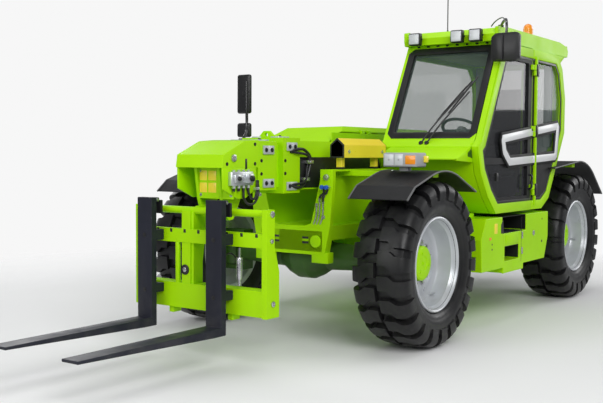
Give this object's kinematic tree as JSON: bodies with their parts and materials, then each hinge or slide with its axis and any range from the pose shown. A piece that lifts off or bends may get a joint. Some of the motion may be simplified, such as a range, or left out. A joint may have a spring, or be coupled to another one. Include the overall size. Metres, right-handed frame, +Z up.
{
  "type": "telehandler",
  "caption": "Side-boom telehandler with a telescopic boom, fork carriage, left-hand cab, four-wheel steering and an engine beside the boom.",
  "frame": {"origin": "centre of the whole machine's footprint on the ground, boom down and retracted", "axes": "+X forward along the boom, +Y to the driver's left, +Z up"},
  "size_m": [6.16, 2.5, 2.7],
  "materials": {
    "lime_paint": "gloss",
    "dark_green_paint": "satin",
    "slate_paint": "satin",
    "silver_paint": "satin",
    "yellow_paint": "gloss",
    "tyre_rubber": "matte",
    "charcoal_plastic": "matte",
    "black_plastic": "satin",
    "cab_grey": "matte",
    "glass": "gloss",
    "seat_fabric": "matte",
    "cylinder_black": "gloss",
    "chrome_rod": "polished",
    "cast_engine": "rough",
    "lamp_lens": "gloss",
    "amber_lens": "gloss",
    "red_lens": "gloss"
  },
  "bodies": {
    "root": {"chassis_frame": "lime_paint", "front_bulkhead": "lime_paint", "front_axle": "dark_green_paint", "rear_axle": "dark_green_paint", "front_fenders": "charcoal_plastic", "rear_fenders": "charcoal_plastic", "cab_frame": "lime_paint", "cab_roof": "lime_paint", "cab_windows": "glass", "seat": "seat_fabric", "steering_column": "cab_grey", "side_box": "lime_paint", "engine_bay": "lime_paint", "engine_block": "cast_engine", "headlamps": "lamp_lens", "work_lamps": "lamp_lens", "mirrors": "black_plastic", "beacon": "amber_lens", "safety_strut": "yellow_paint", "rear_bumper": "slate_paint", "rear_lamps": "red_lens"},
    "boom": {"boom_outer": "lime_paint"},
    "boom_section": {"boom_mid": "lime_paint"},
    "boom_nose": {"boom_inner": "lime_paint"},
    "tool_carriage": {"carriage": "lime_paint", "forks": "slate_paint"},
    "lift_cylinder": {"lift_barrel": "cylinder_black"},
    "lift_piston": {"lift_rod": "chrome_rod"},
    "door": {"cab_door": "charcoal_plastic", "door_glass": "glass"},
    "bonnet": {"engine_bonnet": "lime_paint"},
    "knuckle_front_left": {"knuckle_front_left": "dark_green_paint"},
    "wheel_front_left": {"tyre_front_left": "tyre_rubber", "rim_front_left": "silver_paint", "hub_front_left": "lime_paint"},
    "knuckle_front_right": {"knuckle_front_right": "dark_green_paint"},
    "wheel_front_right": {"tyre_front_right": "tyre_rubber", "rim_front_right": "silver_paint", "hub_front_right": "lime_paint"},
    "front_steer_rod": {"front_steer_rod": "chrome_rod"},
    "knuckle_rear_left": {"knuckle_rear_left": "dark_green_paint"},
    "wheel_rear_left": {"tyre_rear_left": "tyre_rubber", "rim_rear_left": "silver_paint", "hub_rear_left": "lime_paint"},
    "knuckle_rear_right": {"knuckle_rear_right": "dark_green_paint"},
    "wheel_rear_right": {"tyre_rear_right": "tyre_rubber", "rim_rear_right": "silver_paint", "hub_rear_right": "lime_paint"},
    "rear_steer_rod": {"rear_steer_rod": "chrome_rod"}
  },
  "joints": [
    {"name": "boom_lift", "type": "hinge", "parent": "root", "child": "boom", "pos_m": [-2.63, 0, 1.37], "axis": [0, -1, 0], "range_deg": [-2, 65]},
    {"name": "boom_extend", "type": "slide", "parent": "boom", "child": "boom_section", "axis": [1, 0, 0], "range_m": [0, 1.25]},
    {"name": "nose_extend", "type": "slide", "parent": "boom_section", "child": "boom_nose", "axis": [1, 0, 0], "range_m": [0, 1.25]},
    {"name": "carriage_tilt", "type": "hinge", "parent": "boom_nose", "child": "tool_carriage", "pos_m": [1.6, 0, 0.97], "axis": [0, 1, 0], "range_deg": [-15, 95]},
    {"name": "lift_cylinder_swing", "type": "hinge", "parent": "root", "child": "lift_cylinder", "pos_m": [-2.098, 0, 0.646], "axis": [0, -1, 0], "range_deg": [-2, 64]},
    {"name": "lift_piston_slide", "type": "slide", "parent": "lift_cylinder", "child": "lift_piston", "axis": [0.9742, 0, 0.2259], "range_m": [-0.035, 0.975]},
    {"name": "door_swing", "type": "hinge", "parent": "root", "child": "door", "pos_m": [-1.302, 1.068, 1.55], "axis": [0, 0, 1], "range_deg": [0, 95]},
    {"name": "bonnet_lift", "type": "hinge", "parent": "root", "child": "bonnet", "pos_m": [-1.13, -0.325, 1.56], "axis": [-1, 0, 0], "range_deg": [0, 60]},
    {"name": "steer_front_left", "type": "hinge", "parent": "root", "child": "knuckle_front_left", "pos_m": [0.52, 0.76, 0.59], "axis": [0, 0, 1], "range_deg": [-35, 35]},
    {"name": "wheel_front_left_spin", "type": "hinge", "parent": "knuckle_front_left", "child": "wheel_front_left", "pos_m": [0.52, 0.925, 0.59], "axis": [0, 1, 0], "continuous": true},
    {"name": "steer_front_right", "type": "hinge", "parent": "root", "child": "knuckle_front_right", "pos_m": [0.52, -0.76, 0.59], "axis": [0, 0, 1], "range_deg": [-35, 35]},
    {"name": "wheel_front_right_spin", "type": "hinge", "parent": "knuckle_front_right", "child": "wheel_front_right", "pos_m": [0.52, -0.925, 0.59], "axis": [0, 1, 0], "continuous": true},
    {"name": "front_steer_rod_slide", "type": "slide", "parent": "root", "child": "front_steer_rod", "axis": [0, 1, 0], "range_m": [-0.116, 0.116]},
    {"name": "steer_rear_left", "type": "hinge", "parent": "root", "child": "knuckle_rear_left", "pos_m": [-2.38, 0.76, 0.59], "axis": [0, 0, 1], "range_deg": [-35, 35]},
    {"name": "wheel_rear_left_spin", "type": "hinge", "parent": "knuckle_rear_left", "child": "wheel_rear_left", "pos_m": [-2.38, 0.925, 0.59], "axis": [0, 1, 0], "continuous": true},
    {"name": "steer_rear_right", "type": "hinge", "parent": "root", "child": "knuckle_rear_right", "pos_m": [-2.38, -0.76, 0.59], "axis": [0, 0, 1], "range_deg": [-35, 35]},
    {"name": "wheel_rear_right_spin", "type": "hinge", "parent": "knuckle_rear_right", "child": "wheel_rear_right", "pos_m": [-2.38, -0.925, 0.59], "axis": [0, 1, 0], "continuous": true},
    {"name": "rear_steer_rod_slide", "type": "slide", "parent": "root", "child": "rear_steer_rod", "axis": [0, 1, 0], "range_m": [-0.116, 0.116]}
  ],
  "couplings": [
    {"joint": "nose_extend", "follows": "boom_extend", "ratio": 1},
    {"joint": "lift_cylinder_swing", "follows": "boom_lift", "ratio": 0.975},
    {"joint": "lift_piston_slide", "follows": "boom_lift", "m_per_rad": 0.854},
    {"joint": "steer_front_right", "follows": "steer_front_left", "ratio": 1},
    {"joint": "front_steer_rod_slide", "follows": "steer_front_left", "m_per_rad": -0.188},
    {"joint": "steer_rear_right", "follows": "steer_rear_left", "ratio": 1},
    {"joint": "rear_steer_rod_slide", "follows": "steer_rear_left", "m_per_rad": -0.188}
  ]
}
